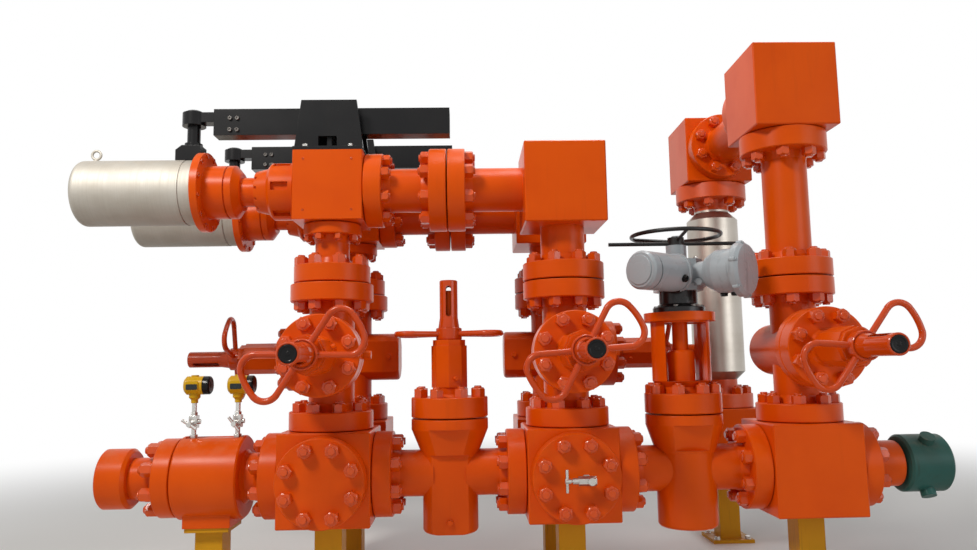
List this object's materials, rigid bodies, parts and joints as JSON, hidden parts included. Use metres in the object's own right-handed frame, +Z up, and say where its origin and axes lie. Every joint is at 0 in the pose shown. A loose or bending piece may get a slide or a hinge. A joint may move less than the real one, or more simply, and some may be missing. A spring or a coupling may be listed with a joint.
{
  "type": "high-pressure choke manifold with gate valves",
  "caption": "Flanged choke manifold: forged cubes, gate valves with bent-rod handwheels, paired remote chokes and a crossover to an upright flow meter.",
  "frame": {"origin": "on the ground, at the centre of the foot under the front centre block", "axes": "+X along the run, from the inlet to the outlet; +Y from the front leg to the rear leg; +Z up"},
  "size_m": [3.316, 1.827, 2.109],
  "materials": {
    "orange_paint": "glossy epoxy paint, orange red",
    "wheel_paint": "glossy epoxy paint, orange red, worn at the grips",
    "yellow_paint": "satin paint, yellow",
    "black_steel": "satin black paint",
    "drive_grey": "grey-blue satin enamel",
    "silver_case": "silver enamel with a warm sheen",
    "transmitter": "glossy yellow enamel",
    "steel": "turned stainless steel",
    "union_green": "worn dark green paint",
    "wheel_black": "black enamel"
  },
  "bodies": {
    "manifold": {"inlet_adapter": "orange_paint", "gauge_spool": "orange_paint", "pressure_transmitters": "transmitter", "gauge_valves": "steel", "front_inlet_block": "orange_paint", "front_centre_block": "orange_paint", "front_outlet_block": "orange_paint", "rear_inlet_block": "orange_paint", "rear_centre_block": "orange_paint", "meter_foot_block": "orange_paint", "link_spools": "orange_paint", "blind_flanges": "orange_paint", "bleed_valve": "steel", "run_valve_body": "orange_paint", "run_valve_bonnet": "orange_paint", "front_inlet_valve_body": "orange_paint", "front_inlet_bonnet": "orange_paint", "front_centre_valve_body": "orange_paint", "front_centre_bonnet": "orange_paint", "outlet_valve_body": "orange_paint", "outlet_bonnet": "orange_paint", "rear_inlet_valve_body": "orange_paint", "rear_inlet_bonnet": "orange_paint", "rear_centre_valve_body": "orange_paint", "rear_centre_bonnet": "orange_paint", "electric_valve_body": "orange_paint", "electric_valve_yoke": "orange_paint", "electric_actuator": "drive_grey", "choke_inlet_spools": "orange_paint", "choke_bodies": "orange_paint", "choke_bonnets": "orange_paint", "choke_actuators": "silver_case", "choke_outlet_spools": "orange_paint", "elbow_blocks": "orange_paint", "support_beams": "black_steel", "suspension_rods": "black_steel", "outlet_riser": "orange_paint", "top_block": "orange_paint", "crossover_spool": "orange_paint", "meter_block": "orange_paint", "flow_meter": "silver_case", "outlet_sub": "orange_paint", "support_posts": "yellow_paint"},
    "run_handwheel": {"run_handwheel": "wheel_paint"},
    "front_inlet_handwheel": {"front_inlet_handwheel": "wheel_paint"},
    "front_centre_handwheel": {"front_centre_handwheel": "wheel_paint"},
    "outlet_handwheel": {"outlet_handwheel": "wheel_paint"},
    "rear_inlet_handwheel": {"rear_inlet_handwheel": "wheel_paint"},
    "rear_centre_handwheel": {"rear_centre_handwheel": "wheel_paint"},
    "actuator_handwheel": {"actuator_handwheel": "wheel_black"},
    "union_nut": {"union_nut": "union_green"},
    "left_gauge_handle": {"left_gauge_handle": "steel"},
    "right_gauge_handle": {"right_gauge_handle": "steel"},
    "bleed_handle": {"bleed_handle": "steel"}
  },
  "joints": [
    {"name": "run_wheel_spin", "type": "hinge", "parent": "manifold", "child": "run_handwheel", "pos_m": [-0.451, 0, 1.0034], "axis": [0, 0, 1], "continuous": true},
    {"name": "front_inlet_wheel_spin", "type": "hinge", "parent": "manifold", "child": "front_inlet_handwheel", "pos_m": [-0.902, -0.5234, 0.925], "axis": [0, -1, 0], "continuous": true},
    {"name": "front_centre_wheel_spin", "type": "hinge", "parent": "manifold", "child": "front_centre_handwheel", "pos_m": [0, -0.5234, 0.925], "axis": [0, -1, 0], "continuous": true},
    {"name": "outlet_wheel_spin", "type": "hinge", "parent": "manifold", "child": "outlet_handwheel", "pos_m": [0.902, -0.5234, 0.925], "axis": [0, -1, 0], "continuous": true},
    {"name": "rear_inlet_wheel_spin", "type": "hinge", "parent": "manifold", "child": "rear_inlet_handwheel", "pos_m": [-1.4254, 0.53, 0.925], "axis": [-1, 0, 0], "continuous": true},
    {"name": "rear_centre_wheel_spin", "type": "hinge", "parent": "manifold", "child": "rear_centre_handwheel", "pos_m": [0.5234, 0.53, 0.925], "axis": [1, 0, 0], "continuous": true},
    {"name": "actuator_wheel_spin", "type": "hinge", "parent": "manifold", "child": "actuator_handwheel", "pos_m": [0.451, 0, 1.3534], "axis": [0, 0, 1], "continuous": true},
    {"name": "union_nut_spin", "type": "hinge", "parent": "manifold", "child": "union_nut", "pos_m": [1.2875, 0, 0.48], "axis": [1, 0, 0], "continuous": true},
    {"name": "left_gauge_handle_spin", "type": "hinge", "parent": "manifold", "child": "left_gauge_handle", "pos_m": [-1.4205, -0.045, 0.6785], "axis": [0, -1, 0], "continuous": true},
    {"name": "right_gauge_handle_spin", "type": "hinge", "parent": "manifold", "child": "right_gauge_handle", "pos_m": [-1.2555, -0.045, 0.6785], "axis": [0, -1, 0], "continuous": true},
    {"name": "bleed_handle_spin", "type": "hinge", "parent": "manifold", "child": "bleed_handle", "pos_m": [-0.04, -0.29, 0.48], "axis": [-1, 0, 0], "continuous": true}
  ]
}
